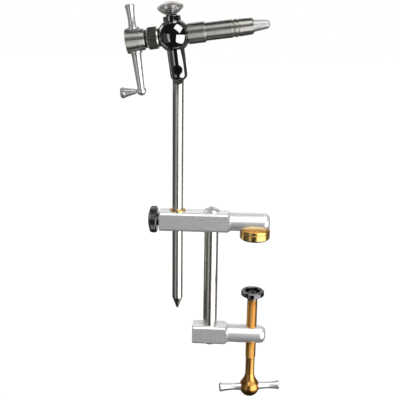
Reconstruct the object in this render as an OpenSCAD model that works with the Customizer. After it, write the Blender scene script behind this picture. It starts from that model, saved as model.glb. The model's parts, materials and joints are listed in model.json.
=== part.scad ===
// Fly tying vise: a C clamp for a table edge, a stem, and a rotary head that holds the hook.
// The origin is the centre of the fixed pad's underside. +Z is up, +X is the jaws' side, +Y the back.

/* [Clamp arms] */
// Side of the square part of both arms
arm_side = 17.5; // [17.2:0.1:20]
// Diameter of the turned part of both arms
arm_round_d = 16.8; // [15.5:0.1:17]
// Radius on the long edges of the square part
arm_edge_r = 2.8; // [1.5:0.1:3.5]
// Radius round the free end of the turned part
arm_end_r = 5.5; // [3:0.1:6]
// Chamfer at the square end of each arm
arm_end_chamfer = 1.2; // [0.5:0.1:1.5]
// Distance from the clamp screw's axis back to the step between the round and square parts
arm_step = 22; // [20:0.1:24]
// Reach of the turned part past the clamp screw's axis
arm_reach = 13.1; // [12:0.1:18]
// Length of the square part of the upper arm
upper_block_l = 63.4; // [62:0.1:75]
// Length of the square part of the lower arm
lower_block_l = 33; // [30:0.1:40]
// Distance between the centre lines of the arms
arm_spacing = 108.9; // [106:0.1:130]

/* [Clamp post] */
// Diameter of the post that joins the arms
post_d = 12.6; // [11:0.1:13]
// Distance from the clamp screw's axis to the post's axis
screw_to_post = 38.85; // [36:0.05:42]
// Depth of the post's seat in each arm
post_seat = 1.5; // [0.5:0.1:2]
// Diameter of both post screws
post_screw_d = 6.35; // [5:0.05:6.5]
// Length of each post screw inside the post
post_screw_grip = 12; // [8:0.5:16]
// Diameter of the top screw's button head
top_head_d = 14; // [12:0.1:15]
// Height of the top screw's button head
top_head_h = 4.2; // [3.5:0.1:5]
// Width across flats of the top screw's socket
top_socket = 4.8; // [4:0.1:6]
// Diameter of the bottom screw's button head
bottom_head_d = 10.8; // [10:0.1:12]
// Height of the bottom screw's button head
bottom_head_h = 3.4; // [3:0.1:4]
// Width across flats of the bottom screw's socket
bottom_socket = 4; // [3:0.1:5]

/* [Fixed pad] */
// Diameter of the fixed brass pad
pad_d = 27; // [24:0.1:30]
// Height of the fixed brass pad
pad_h = 9.2; // [8:0.1:12]
// Depth of the pad's seat in the upper arm
pad_seat = 2; // [1:0.1:2.5]
// Chamfer round the pad's lower edge
pad_chamfer = 1.5; // [1:0.1:2]
// Height of the groove round the pad
pad_groove_z = 6; // [5:0.1:7]
// Width of the groove round the pad
pad_groove_w = 0.8; // [0.5:0.1:1]
// Diameter of the spigot that holds the pad in the arm
pad_spigot_d = 8; // [6:0.1:9]
// Length of that spigot
pad_spigot_l = 8; // [5:0.1:10]

/* [Clamp screw] */
// Opening between the pads as drawn
throat = 50; // [40:0.5:60]
// Thread diameter of the clamp screw
thread_d = 9.525; // [9:0.005:10]
// Pitch of its thread
thread_pitch = 1.058; // [1:0.001:1.27]
// Depth of its thread
thread_depth = 0.55; // [0.4:0.05:0.6]
// Threaded turns
thread_turns = 56; // [50:1:58]
// Diameter of the plain neck below the thread
screw_neck_d = 8.5; // [8:0.1:8.6]
// Length from the thread's end to the middle of the ball
screw_neck_l = 30.4; // [28:0.1:34]
// Diameter of the ball
ball_end_d = 18.8; // [17:0.1:20]
// Radius of the hollow curve from the neck into the ball
ball_flare_r = 15; // [10:0.5:16]
// Diameter of the nose that the cup pad turns on
nose_d = 5; // [4.5:0.1:5.5]

/* [Clamp handle] */
// Distance from the ball's centre to a wing's tip
wing_reach = 28.9; // [26:0.1:34]
// Diameter at the tip of each wing
wing_tip_d = 8.6; // [8:0.1:10]
// Diameter at the waist of each wing
wing_waist_d = 6.5; // [6:0.1:7]
// Diameter where each wing meets the ball
wing_base_d = 7.6; // [7:0.1:8]
// Turn of the handle about the screw, in degrees
handle_turn = 9; // [0:1:45]

/* [Cup pad] */
// Diameter of the cup pad's rim
cup_d = 21; // [20:0.1:24]
// Diameter of its hollow
cup_hollow_d = 13.8; // [13:0.1:15]
// Depth of its hollow
cup_hollow_h = 2.5; // [2:0.1:3]
// Height of the rim's side
cup_rim_h = 4.2; // [3.6:0.1:4.6]
// Height of the cone under the rim
cup_cone_h = 2.4; // [2:0.1:3]
// Height of the neck under the cone
cup_neck_h = 1.8; // [1.4:0.1:3]
// Diameter of the neck
cup_neck_d = 10; // [9:0.1:11]
// Head diameter of the screw that holds the pad on
cup_screw_head_d = 8.4; // [7.5:0.1:9]
// Head height of that screw
cup_screw_head_h = 1.9; // [1.5:0.1:2]
// Diameter of that screw
cup_screw_d = 3; // [2.5:0.1:3.2]
// Length of that screw in the nose
cup_screw_l = 6; // [4:0.1:7]
// Width across flats of that screw's socket
cup_socket = 3; // [2:0.1:3.4]

/* [Stem] */
// Diameter of the stem
stem_d = 9.525; // [9:0.005:10]
// Distance from the post's axis to the stem's axis
post_to_stem = 30.5; // [29:0.1:34]
// Height of the tilt pivot above the fixed pad's underside
pivot_z = 147.8; // [145:0.1:160]
// Length of the stem from the pivot down to its taper
stem_l = 206.4; // [200:0.1:215]
// Length of the tapered end
stem_taper_l = 10.6; // [8:0.1:12]
// Diameter at the taper's end
stem_tip_d = 1.6; // [1:0.1:2.5]
// Thickness of the milled tang
tang_t = 5; // [4:0.1:6]
// Distance from the pivot down to the end of the tang's flats
tang_drop = 12.4; // [12:0.1:14]
// Radius of the run-out at the end of the flats
tang_runout_r = 4.9; // [4.8:0.1:6]

/* [Stem clamp] */
// Diameter of the bush's flange
bush_flange_d = 14; // [13.5:0.1:15]
// Thickness of the bush's flange
bush_flange_t = 1.5; // [1:0.1:2]
// Outer diameter of the bush inside the arm
bush_d = 12.7; // [12:0.1:13]
// Length of the bush inside the arm
bush_l = 5.5; // [4:0.1:5.5]
// Diameter of the lock screw
lock_screw_d = 6.35; // [5:0.05:6.4]
// Length of the lock shoe
shoe_l = 3; // [2:0.1:4]
// Diameter of the lock knob
lock_knob_d = 24; // [20:0.1:26]
// Thickness of the lock knob, its dome included
lock_knob_t = 8.5; // [7:0.1:10]
// Height of the knob's dome
lock_knob_dome = 2.4; // [1:0.1:3]
// Diameter of the knob's hub
lock_hub_d = 11; // [9:0.1:13]
// Length of the knob's hub
lock_hub_l = 1.6; // [1:0.1:3]
// Gap between the hub and the arm when the stem is locked
lock_gap = 0.4; // [0.3:0.1:1]
// Ribs round the lock knob
lock_knob_ribs = 48; // [36:1:60]
// Depth of those ribs
lock_rib_depth = 0.6; // [0.4:0.1:0.8]
// Chamfer at the foot of the knob
lock_knob_chamfer = 1; // [0.6:0.1:1.4]

/* [Head housing] */
// Tilt of the jaws above level, in degrees
head_tilt = 7.5; // [-20:0.5:20]
// Diameter of the ball
ball_d = 27.8; // [27.2:0.1:29]
// Distance from the pivot up to the ball's centre
pivot_to_ball = 28; // [27:0.1:30]
// Diameter of the yoke
yoke_d = 15; // [14.5:0.1:16]
// Distance from the pivot down to the yoke's end
yoke_drop = 9.3; // [8:0.1:9.5]
// Radius turned on the yoke's end
yoke_end_r = 5; // [4:0.1:6]
// Height of the yoke's slot above the pivot
yoke_slot_rise = 6.5; // [5.5:0.1:8]
// Distance from the ball's centre to its flat front face
front_face = 11.6; // [11.4:0.1:11.9]
// Distance from the ball's centre to the end of the rear collar
rear_face = 12.6; // [12.1:0.1:13.1]
// Diameter of the rear collar
rear_collar_d = 15.4; // [15:0.1:17]
// Diameter of the boss on top
boss_d = 14.8; // [13:0.1:16]
// Height of the boss's top
boss_top = 15.7; // [15:0.1:16.4]
// Diameter of the neck above the boss
neck_d = 9.4; // [8:0.1:10]
// Height of the neck's top
neck_top = 17; // [16.7:0.1:18.5]

/* [Tilt screw] */
// Diameter of the tilt screw
tilt_screw_d = 5; // [4:0.1:5.5]
// Diameter of its head
tilt_head_d = 8.2; // [8:0.1:8.6]
// Height of its head
tilt_head_h = 3; // [2.5:0.1:3]
// Depth of the head's seat in the yoke
tilt_seat = 3.2; // [3:0.1:3.3]
// Width across flats of its socket
tilt_socket = 4.1; // [3.5:0.1:4.5]
// How far the screw's end lies inside the yoke's far side
tilt_end_inset = 1; // [0.5:0.1:2]

/* [Drag] */
// Diameter of the drag knob
drag_knob_d = 21.6; // [20:0.1:24]
// Diameter of its flat underside
drag_foot_d = 9.4; // [8:0.1:11]
// Height of its bowled lower side
drag_bowl_h = 4.4; // [3:0.1:5]
// Height of its rim
drag_rim_h = 2.2; // [1:0.1:3]
// Height of its domed top
drag_dome_h = 3.8; // [3:0.1:5]
// Diameter of the drag screw
drag_screw_d = 4; // [3.5:0.1:4.5]
// Diameter of the drag shoe
drag_shoe_d = 5; // [4.8:0.1:5.5]
// Height of the drag shoe
drag_shoe_h = 2.6; // [2:0.1:3]
// How far the drag screw backs off
drag_backoff = 1.5; // [1:0.1:2]

/* [Rotary sleeve] */
// Diameter of the sleeve's journal in the housing
journal_d = 10; // [9.5:0.1:10.4]
// Outer diameter of the housing's bushings
bushing_d = 12.4; // [12:0.1:12.8]
// Length of each bushing
bushing_l = 5.5; // [4:0.1:6]
// Diameter of the sleeve's first step
step_1_d = 17.2; // [16.5:0.1:18]
// End of the first step, from the ball's centre
step_1_end = 26.4; // [24.4:0.1:28.4]
// Diameter of the second step
step_2_d = 15; // [14.5:0.1:16]
// End of the second step
step_2_end = 49.1; // [47.4:0.1:51.4]
// Width of each of the two grooves
groove_w = 1.3; // [0.8:0.1:1.4]
// Depth of the grooves
groove_depth = 0.6; // [0.3:0.1:0.8]
// Width of the ring between the grooves
ring_w = 2.6; // [2:0.1:3]
// Diameter of the third step where it starts
step_3_d = 14.6; // [14:0.1:15]
// Diameter at the sleeve's mouth
mouth_d = 13.5; // [13:0.1:14]
// The mouth's distance from the ball's centre
mouth_x = 66.3; // [65.4:0.1:67.4]
// Chamfer round the sleeve's mouth
mouth_chamfer = 0.9; // [0.4:0.1:1]
// Chamfer at the edges of the steps
step_chamfer = 0.5; // [0.3:0.1:0.8]
// Diameter of the screwed spigot behind the nose piece
nose_spigot_d = 11.7; // [11.4:0.1:11.9]
// Length of that spigot
nose_spigot_l = 6.6; // [5:0.1:7]
// Diameter of the wide bore for the spring and the jaws' tails
wide_bore_d = 10.6; // [10:0.1:11]
// Where the wide bore starts
wide_bore_x = 21.4; // [20.4:0.1:23.4]
// Diameter of the key screw
key_screw_d = 2.5; // [2:0.1:3]
// The key screw's distance from the ball's centre
key_screw_x = 16.4; // [15.4:0.1:17.4]
// Depth of the drawbar's slot that the key screw runs in
key_depth = 1.2; // [1:0.1:1.4]

/* [Knurled collar] */
// Distance from the ball's centre to the collar's front face
collar_front = 12.8; // [12.7:0.1:13.2]
// Distance from the ball's centre to its rear face
collar_rear = 22.4; // [21.6:0.1:22.6]
// Diameter over the knurled middle
collar_d = 18.3; // [17.5:0.1:19]
// Diameter at both ends
collar_end_d = 15.6; // [15:0.1:16.5]
// Length of the chamfer at each end
collar_chamfer = 1; // [0.8:0.1:1.6]
// Teeth of the knurl
collar_teeth = 32; // [28:1:40]
// Depth of the knurl
collar_tooth_depth = 0.45; // [0.3:0.05:0.55]
// Height of the knurl's roots above the collar's chamfers
knurl_step = 0.15; // [0.1:0.05:0.3]
// Diameter of the collar's set screw
collar_screw_d = 3; // [2.5:0.1:3.5]
// Length of the set screw
collar_screw_l = 3; // [2.5:0.1:3.4]
// Width across flats of the set screw's socket
collar_socket = 1.5; // [1.2:0.1:1.8]
// Thickness of the rubber ring
rubber_t = 1.9; // [1.6:0.1:1.9]
// Outer diameter of the rubber ring
rubber_d = 14.8; // [14:0.1:15]

/* [Draw hub] */
// Distance from the ball's centre to the hub's front face
hub_front = 24.4; // [24.4:0.1:25.1]
// Distance from the ball's centre to its rear face
hub_rear = 41.1; // [40.6:0.1:42.6]
// Diameter at the hub's rear
hub_rear_d = 21; // [20:0.1:22]
// Diameter at the hub's front
hub_front_d = 17.5; // [17:0.1:18.5]
// Height of the hub's domed rear face
hub_dome = 1.2; // [0.8:0.1:1.5]
// Distance from the ball's centre to the fine groove round the hub
hub_groove_x = 27.9; // [26.6:0.1:28.6]
// Chamfer at the hub's front edge
hub_chamfer = 0.6; // [0.4:0.1:1]
// Distance from the ball's centre to the cross axis of the lever and the crank
cross_x = 33.5; // [33.1:0.1:34.1]
// Height above the jaw axis of the flat that the lever and the crank sit on
cross_seat = 8.8; // [8.6:0.1:9]
// Diameter of the collars that sit on the flats
cross_collar_d = 11; // [10:0.1:11.5]
// Height of those collars
cross_collar_h = 1.9; // [1.5:0.1:2.2]
// Radius on the edge of those collars
cross_edge_r = 0.6; // [0.3:0.1:0.9]
// Diameter of their threaded studs
stud_d = 4; // [3.5:0.1:4.5]
// Length of their threaded studs
stud_l = 5; // [4:0.1:5.2]
// Travel of the drawbar for one full turn of the hub
draw_lead = 9.6; // [8:0.1:10]

/* [Lever and crank] */
// Height of the lever's tip above the jaw axis
lever_reach = 29.3; // [27:0.1:34]
// Diameter at the lever's tip
lever_tip_d = 8.3; // [7.5:0.1:9]
// Diameter at the lever's waist
lever_waist_d = 6.2; // [5.5:0.1:6.5]
// Diameter at the lever's base
lever_base_d = 7.7; // [7:0.1:8.5]
// Distance from the jaw axis to the centre of the crank's end ball
crank_reach = 41.9; // [38:0.1:46]
// Diameter at the crank's base
crank_base_d = 8.7; // [8:0.1:9]
// Diameter at the crank's thin end
crank_thin_d = 6; // [5.5:0.1:6.5]
// Diameter of the crank's end ball
crank_ball_d = 8.3; // [8:0.1:9]
// Diameter of the knob beside the crank
knob_small_d = 4.2; // [4:0.1:5]
// Diameter of the knob's cone where it meets the flange
knob_cone_d = 8.2; // [7.5:0.1:9]
// Length of the knob's cone
knob_cone_l = 9.5; // [8:0.1:12]
// Diameter of the knob's flange
knob_flange_d = 9.5; // [9:0.1:11]
// Width of the knob's flange
knob_flange_w = 4.1; // [3:0.1:5]
// Diameter of the pin that the knob turns on
knob_pin_d = 2.6; // [2.2:0.1:2.8]
// Diameter of the pin's head
knob_pin_head_d = 4.8; // [4.4:0.1:5.5]
// Width across flats of the pin's socket
knob_pin_socket = 1.3; // [1:0.1:1.6]

/* [Jaws] */
// The nose's distance from the ball's centre
jaw_nose = 79.9; // [78.4:0.1:83.4]
// Diameter of the jaws at the sleeve's mouth
jaw_mouth_d = 10; // [9.5:0.1:10.2]
// Diameter near the nose
jaw_nose_d = 7.4; // [6.5:0.1:8]
// Radius of the rounded nose
jaw_nose_r = 3; // [2:0.1:3.2]
// Length of the cone that the sleeve closes
jaw_cone_l = 6; // [5:0.1:7]
// Rise of that cone for each unit of length
jaw_cone_slope = 0.2; // [0.18:0.01:0.22]
// Diameter of the jaws' tails
jaw_tail_d = 6.8; // [6.4:0.1:6.8]
// Where the tails end
jaw_tail_x = 43.6; // [42.4:0.1:44.4]
// Gap between the jaws behind the lips
jaw_gap = 0.4; // [0.3:0.1:0.6]
// Gap between the closed lips
lip_gap = 0.12; // [0.1:0.02:0.2]
// Length of the lips
lip_l = 8; // [6:0.5:10]
// Length of the hook that each tail grips the drawbar's button with
hook_l = 1.6; // [1.2:0.1:2]

/* [Drawbar] */
// Diameter of the drawbar
drawbar_d = 5; // [4.5:0.1:5]
// Distance from the ball's centre to the drawbar's rear end
drawbar_rear = 36.8; // [36:0.1:37.5]
// Pitch of the thread at the drawbar's rear
bar_pitch = 0.6; // [0.5:0.05:0.8]
// Depth of that thread
bar_thread_depth = 0.3; // [0.2:0.05:0.4]
// Diameter of the button that the jaws hook on
button_d = 4.4; // [4:0.1:4.6]
// Diameter of the neck behind the button
button_neck_d = 2.4; // [2:0.1:2.6]
// Length of the button
button_l = 2; // [1.5:0.1:2.5]
// Diameter of the collar that the return spring presses on
spring_collar_d = 9.6; // [9:0.1:9.8]
// Where that collar starts
spring_collar_x = 34.4; // [31.4:0.1:37.4]
// Length of that collar
spring_collar_l = 3; // [2:0.1:4]
// Wire diameter of the return spring
spring_wire = 0.9; // [0.7:0.05:1]
// Turns of the return spring
spring_turns = 6; // [4:1:8]
// Diameter of the jaw spring
jaw_spring_d = 2.6; // [2.2:0.1:2.8]
// Wire diameter of the jaw spring
jaw_spring_wire = 0.35; // [0.3:0.05:0.4]
// Length of the jaw spring
jaw_spring_l = 4; // [3.6:0.1:4.2]
// Turns of the jaw spring
jaw_spring_turns = 5; // [3:1:6]
// The jaw spring's distance from the ball's centre
jaw_spring_x = 53.4; // [51.4:0.1:55.4]

/* [Fits] */
// Radial gap of a running fit
run_gap = 0.05; // [0.03:0.01:0.08]
// Radial gap of a clearance hole
loose_gap = 0.15; // [0.1:0.01:0.2]
// Gap between faces that turn past each other
face_gap = 0.2; // [0.1:0.05:0.3]
// Gap where one piece bears on another
touch_gap = 0.02; // [0.01:0.01:0.03]
// Gap between a stud's end and the floor of its hole
end_gap = 0.3; // [0.2:0.05:0.5]
// Spare depth of a blind hole past the screw in it
hole_spare = 1; // [0.5:0.1:1.5]

/* [Hidden] */
$fn = 64;
// How far every cut runs past its surface
over = 1;
// Smallest broken edge
edge = 0.3;
// Share of a button head's height that is straight
head_side_share = 0.25;
// Share of a head's or knob's height that its hole takes
socket_share = 0.6;
// Share of a thread's pitch from its root to its crest
crest_share = 0.5;
// Share of a turn that the draw hub turns through
hub_turn_share = 0.25;
// Share of a leg's length where its waist is
waist_share = 0.4;
// Share of a leg's tip diameter that its rounded edge takes
tip_edge_share = 0.15;
// Steps along a waisted leg
leg_steps = 16;
// Share of the end ball's radius where the wings sit
wing_seat_share = 0.9;
// Length of the sleeve's journal inside the draw hub
journal_tail = 5.2;
// Length of the knob pin's thread past the middle of the crank's end ball
pin_grip = 2.5;
// Height of the knob pin's head
knob_pin_head_h = 1.6;
// Rounded edge of the crank knob's flange
knob_edge = 0.9;

upper_z = pad_h - pad_seat + arm_round_d / 2;
lower_z = upper_z - arm_spacing;
arm_flat = arm_side / 2;
arm_round_r = arm_round_d / 2;
arm_corner = (arm_flat - arm_edge_r) * sqrt(2) + arm_edge_r;
post_x = -screw_to_post;
post_screw_l = arm_side - post_seat + post_screw_grip;
stem_x = post_x - post_to_stem;
upper_end_x = -arm_step - upper_block_l;

cup_top = -throat;
cup_floor = cup_top - cup_hollow_h;
cup_bottom = cup_top - cup_rim_h - cup_cone_h - cup_neck_h;
thread_top = cup_bottom - run_gap;
thread_l = thread_turns * thread_pitch;
ball_end_z = thread_top - thread_l - screw_neck_l;
ball_end_r = ball_end_d / 2;
wing_seat = ball_end_r * wing_seat_share;

stem_r = stem_d / 2;
stem_bottom = pivot_z - stem_l;

// Length of the drag screw inside its knob
drag_grip = drag_bowl_h + drag_rim_h;
// The ball's centre stands above the pivot, up the tilted yoke
ball_x = stem_x - pivot_to_ball * sin(head_tilt);
ball_z = pivot_z + pivot_to_ball * cos(head_tilt);

hub_length = hub_rear - hub_front;
journal_end = hub_front + journal_tail;
sleeve_end = step_2_end + groove_w + ring_w;

// Frames

// Turns a shape drawn up +Z so that it runs along +X
module along_x() {
    rotate([0, 90, 0]) children();
}

// Turns a shape drawn up +Z so that it runs along +Y
module along_y() {
    rotate([-90, 0, 0]) children();
}

// The head's own frame: its origin is the ball's centre and its +X is the jaw axis
module head_frame() {
    translate([ball_x, 0, ball_z]) rotate([0, -head_tilt, 0]) children();
}

// A shape drawn up +Z, laid along the jaw axis
module jaw_axis() {
    head_frame() along_x() children();
}

// Shapes used more than once

module turned(points) {
    rotate_extrude() polygon(points);
}

// A square with round corners
module rounded_square(side, r) {
    square([side, side - 2 * r], center = true);
    square([side - 2 * r, side], center = true);
    for (x = [-1, 1], y = [-1, 1])
        translate([x, y] * (side / 2 - r)) circle(r = r);
}

// A round bar whose top edge is rounded with radius e
module rounded_bar(r, l, e) {
    rotate_extrude() intersection() {
        square([r, l]);
        union() {
            square([r, l - e]);
            square([r - e, l]);
            translate([r - e, l - e]) circle(r = e);
        }
    }
}

// A disc with a straight side and a domed top
module domed(r, side_h, dome_h) {
    cap_r = (r * r + dome_h * dome_h) / (2 * dome_h);
    rotate_extrude() intersection() {
        square([r, side_h + dome_h]);
        translate([0, side_h + dome_h - cap_r]) circle(r = cap_r, $fn = 180);
    }
}

// A disc with a domed top, a straight rim and a bowled underside that ends in a flat foot
module domed_knob(r, foot_r, bowl_h, rim_h, dome_h) {
    top = bowl_h + rim_h + dome_h;
    cap_r = (r * r + dome_h * dome_h) / (2 * dome_h);
    bowl_middle = (r * r + bowl_h * bowl_h - foot_r * foot_r) / (2 * bowl_h);
    bowl_r = sqrt(foot_r * foot_r + bowl_middle * bowl_middle);
    rotate_extrude() intersection() {
        square([r, top]);
        translate([0, top - cap_r]) circle(r = cap_r, $fn = 180);
        translate([0, bowl_middle]) circle(r = bowl_r, $fn = 180);
    }
}

// Corners of a star, for knurls and ribs
function star(teeth, outer_r, inner_r) = [
    for (i = [0 : 2 * teeth - 1])
        let (r = i % 2 == 0 ? outer_r : inner_r)
        r * [cos(180 * i / teeth), sin(180 * i / teeth)]
];

// A hexagon socket, cut downwards from z = 0
module hex_socket(flats, depth) {
    translate([0, 0, -depth]) cylinder(d = flats / cos(30), h = depth + over, $fn = 6);
}

// A button-head screw: its head stands up from z = 0 and its shank hangs below
module button_screw(head_d, head_h, socket, shank_d, shank_l) {
    difference() {
        union() {
            domed(head_d / 2, head_h * head_side_share, head_h * (1 - head_side_share));
            translate([0, 0, -shank_l]) cylinder(d = shank_d, h = shank_l + head_h / 2);
        }
        translate([0, 0, head_h]) hex_socket(socket, head_h * socket_share);
    }
}

// Diameter of a waisted leg at the share t of its length
function leg_d(t, base_d, waist_d, tip_d) = t < waist_share
    ? waist_d + (base_d - waist_d) * pow(1 - t / waist_share, 2)
    : waist_d + (tip_d - waist_d) * pow((t - waist_share) / (1 - waist_share), 2);

// A waisted leg with a softly rounded tip, from z = 0 up to z = l
module waisted_leg(l, base_d, waist_d, tip_d) {
    tip_edge = tip_d * tip_edge_share;
    side_l = l - tip_edge;
    rotate_extrude() polygon(concat(
        [[0, 0]],
        [
            for (i = [0 : leg_steps])
                let (t = i / leg_steps)
                [leg_d(t, base_d, waist_d, tip_d) / 2, side_l * t]
        ],
        [
            for (a = [15 : 15 : 90])
                [tip_d / 2 - tip_edge * (1 - cos(a)), side_l + tip_edge * sin(a)]
        ],
        [[0, l]]
    ));
}

// Grooved outline of a threaded bar: its root and crest radii take turns
function thread_outline(root_r, crest_r, pitch, turns) = concat(
    [[0, 0]],
    [for (i = [0 : turns - 1]) each [[root_r, i * pitch], [crest_r, (i + crest_share) * pitch]]],
    [[root_r, turns * pitch], [0, turns * pitch]]
);

// A coil spring of round wire, standing on z = 0
module coil_spring(outer_d, wire, l, turns) {
    sides = 8;
    per_turn = 20;
    rings = turns * per_turn;
    mean_r = (outer_d - wire) / 2;
    rise = (l - wire) / rings;
    points = [
        for (i = [0 : rings], s = [0 : sides - 1])
            let (turn = 360 * i / per_turn, side = 360 * s / sides)
            let (r = mean_r + wire / 2 * cos(side))
            [r * cos(turn), r * sin(turn), wire / 2 + i * rise + wire / 2 * sin(side)]
    ];
    walls = [
        for (i = [0 : rings - 1], s = [0 : sides - 1])
            let (n = (s + 1) % sides, a = i * sides, b = a + sides)
            each [[a + s, b + s, a + n], [b + s, b + n, a + n]]
    ];
    first_cap = [for (s = [0 : sides - 1]) s];
    last_cap = [for (s = [0 : sides - 1]) rings * sides + sides - 1 - s];
    polyhedron(points, concat([first_cap], walls, [last_cap]));
}

// Clamp, fixed part

// One arm along +X about z = 0: square at the left, turned round at the right
module arm(block_l) {
    corner_r = arm_corner + over;
    along_x() {
        translate([0, 0, -arm_step - block_l]) intersection() {
            linear_extrude(block_l) rounded_square(arm_side, arm_edge_r);
            turned([
                [0, 0],
                [arm_corner - arm_end_chamfer, 0],
                [corner_r, arm_end_chamfer + over],
                [corner_r, block_l - (corner_r - arm_round_r)],
                [arm_round_r, block_l],
                [0, block_l]
            ]);
        }
        translate([0, 0, -arm_step - over]) rounded_bar(arm_round_r, arm_step + arm_reach + over, arm_end_r);
    }
}

module upper_arm() {
    arm_top = upper_z + arm_flat;
    arm_under = upper_z - arm_flat;
    color("silver") difference() {
        translate([0, 0, upper_z]) arm(upper_block_l);
        // seat and hole of the fixed pad
        translate([0, 0, pad_h - pad_seat - over]) cylinder(d = pad_d + 2 * loose_gap, h = pad_seat + over);
        cylinder(d = pad_spigot_d + 2 * touch_gap, h = pad_h + pad_spigot_l + hole_spare);
        // seat of the post and hole of its screw
        translate([post_x, 0, arm_under - over]) cylinder(d = post_d + 2 * touch_gap, h = post_seat + over);
        translate([post_x, 0, arm_under]) cylinder(d = post_screw_d + 2 * loose_gap, h = arm_side + over);
        // bore of the stem, wider above for the bush
        translate([stem_x, 0, arm_under - over]) cylinder(d = stem_d + 2 * run_gap, h = arm_side + 2 * over);
        translate([stem_x, 0, arm_top - bush_l - touch_gap])
            cylinder(d = bush_d + 2 * run_gap, h = bush_l + over);
        // hole of the lock screw and its shoe
        translate([upper_end_x - over, 0, upper_z]) along_x()
            cylinder(d = lock_screw_d + 2 * run_gap, h = stem_x - upper_end_x + over);
    }
}

module lower_arm() {
    arm_top = lower_z + arm_flat;
    arm_under = lower_z - arm_flat;
    color("silver") difference() {
        translate([0, 0, lower_z]) arm(lower_block_l);
        // threaded bore of the clamp screw
        translate([0, 0, arm_under - over]) cylinder(d = thread_d + 2 * run_gap, h = arm_side + 2 * over);
        // seat of the post and hole of its screw
        translate([post_x, 0, arm_top - post_seat])
            cylinder(d = post_d + 2 * touch_gap, h = post_seat + over);
        translate([post_x, 0, arm_under - over])
            cylinder(d = post_screw_d + 2 * loose_gap, h = arm_side + over);
    }
}

module clamp_post() {
    post_bottom = lower_z + arm_flat - post_seat;
    post_top = upper_z - arm_flat + post_seat;
    hole_l = post_screw_grip + hole_spare;
    color("gainsboro") translate([post_x, 0, 0]) difference() {
        translate([0, 0, post_bottom]) cylinder(d = post_d, h = post_top - post_bottom);
        translate([0, 0, post_top - hole_l]) cylinder(d = post_screw_d + 2 * touch_gap, h = hole_l + over);
        translate([0, 0, post_bottom - over]) cylinder(d = post_screw_d + 2 * touch_gap, h = hole_l + over);
    }
}

module post_top_screw() {
    color("gainsboro") translate([post_x, 0, upper_z + arm_flat])
        button_screw(top_head_d, top_head_h, top_socket, post_screw_d, post_screw_l);
}

module post_bottom_screw() {
    color("dimgray") translate([post_x, 0, lower_z - arm_flat]) mirror([0, 0, 1])
        button_screw(bottom_head_d, bottom_head_h, bottom_socket, post_screw_d, post_screw_l);
}

module fixed_pad() {
    pad_r = pad_d / 2;
    color("goldenrod") {
        turned([
            [0, 0],
            [pad_r - pad_chamfer, 0],
            [pad_r, pad_chamfer],
            [pad_r, pad_groove_z],
            [pad_r - pad_groove_w / 2, pad_groove_z + pad_groove_w / 2],
            [pad_r, pad_groove_z + pad_groove_w],
            [pad_r, pad_h - edge],
            [pad_r - edge, pad_h],
            [0, pad_h]
        ]);
        cylinder(d = pad_spigot_d, h = pad_h + pad_spigot_l);
    }
}

// Clamp screw

// The ball at the screw's end, with the hollow curve that leads up into the neck
module ball_end() {
    neck_r = screw_neck_d / 2;
    curve_x = neck_r + ball_flare_r;
    curve_z = sqrt(pow(ball_end_r + ball_flare_r, 2) - pow(curve_x, 2));
    contact_r = curve_x * ball_end_r / (ball_end_r + ball_flare_r);
    sphere(r = ball_end_r);
    rotate_extrude() difference() {
        square([contact_r, curve_z]);
        translate([curve_x, curve_z]) circle(r = ball_flare_r, $fn = 180);
    }
    cylinder(r = neck_r, h = screw_neck_l + over);
}

module clamp_screw() {
    nose_l = cup_floor + run_gap - thread_top;
    screw_l = screw_neck_l + thread_l;
    crest_r = thread_d / 2;
    color("goldenrod") translate([0, 0, ball_end_z]) difference() {
        union() {
            ball_end();
            translate([0, 0, screw_neck_l])
                turned(thread_outline(crest_r - thread_depth, crest_r, thread_pitch, thread_turns));
            translate([0, 0, screw_l - over]) cylinder(d = nose_d, h = nose_l + over);
        }
        // tapped hole of the screw that holds the cup pad
        translate([0, 0, screw_l + nose_l - cup_screw_l - hole_spare])
            cylinder(d = cup_screw_d + 2 * touch_gap, h = cup_screw_l + hole_spare + over);
        // seats and tapped holes of the wings
        for (side = [0, 180]) rotate([0, 0, handle_turn + side]) along_x() {
            translate([0, 0, wing_seat]) cylinder(d = wing_base_d + 2 * loose_gap, h = ball_end_r);
            translate([0, 0, wing_seat - stud_l]) cylinder(d = stud_d + 2 * touch_gap, h = stud_l + over);
        }
    }
}

module clamp_handle() {
    color("gainsboro") translate([0, 0, ball_end_z])
        for (side = [0, 180]) rotate([0, 0, handle_turn + side]) along_x() {
            translate([0, 0, wing_seat])
                waisted_leg(wing_reach - wing_seat, wing_base_d, wing_waist_d, wing_tip_d);
            translate([0, 0, wing_seat - stud_l + end_gap]) cylinder(d = stud_d, h = stud_l);
        }
}

module cup_pad() {
    cup_r = cup_d / 2;
    cup_h = cup_top - cup_bottom;
    bore_r = nose_d / 2 + run_gap;
    color("black") translate([0, 0, cup_bottom]) turned([
        [bore_r, 0],
        [cup_neck_d / 2 - edge, 0],
        [cup_neck_d / 2, edge],
        [cup_neck_d / 2, cup_neck_h],
        [cup_r - edge, cup_neck_h + cup_cone_h],
        [cup_r, cup_neck_h + cup_cone_h + edge],
        [cup_r, cup_h - 2 * edge],
        [cup_r - 2 * edge, cup_h],
        [cup_hollow_d / 2 + edge, cup_h],
        [cup_hollow_d / 2, cup_h - edge],
        [cup_hollow_d / 2, cup_h - cup_hollow_h],
        [bore_r, cup_h - cup_hollow_h]
    ]);
}

module cup_pad_screw() {
    color("dimgray") translate([0, 0, cup_floor + run_gap])
        button_screw(cup_screw_head_d, cup_screw_head_h, cup_socket, cup_screw_d, cup_screw_l);
}

// Stem clamp

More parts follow.
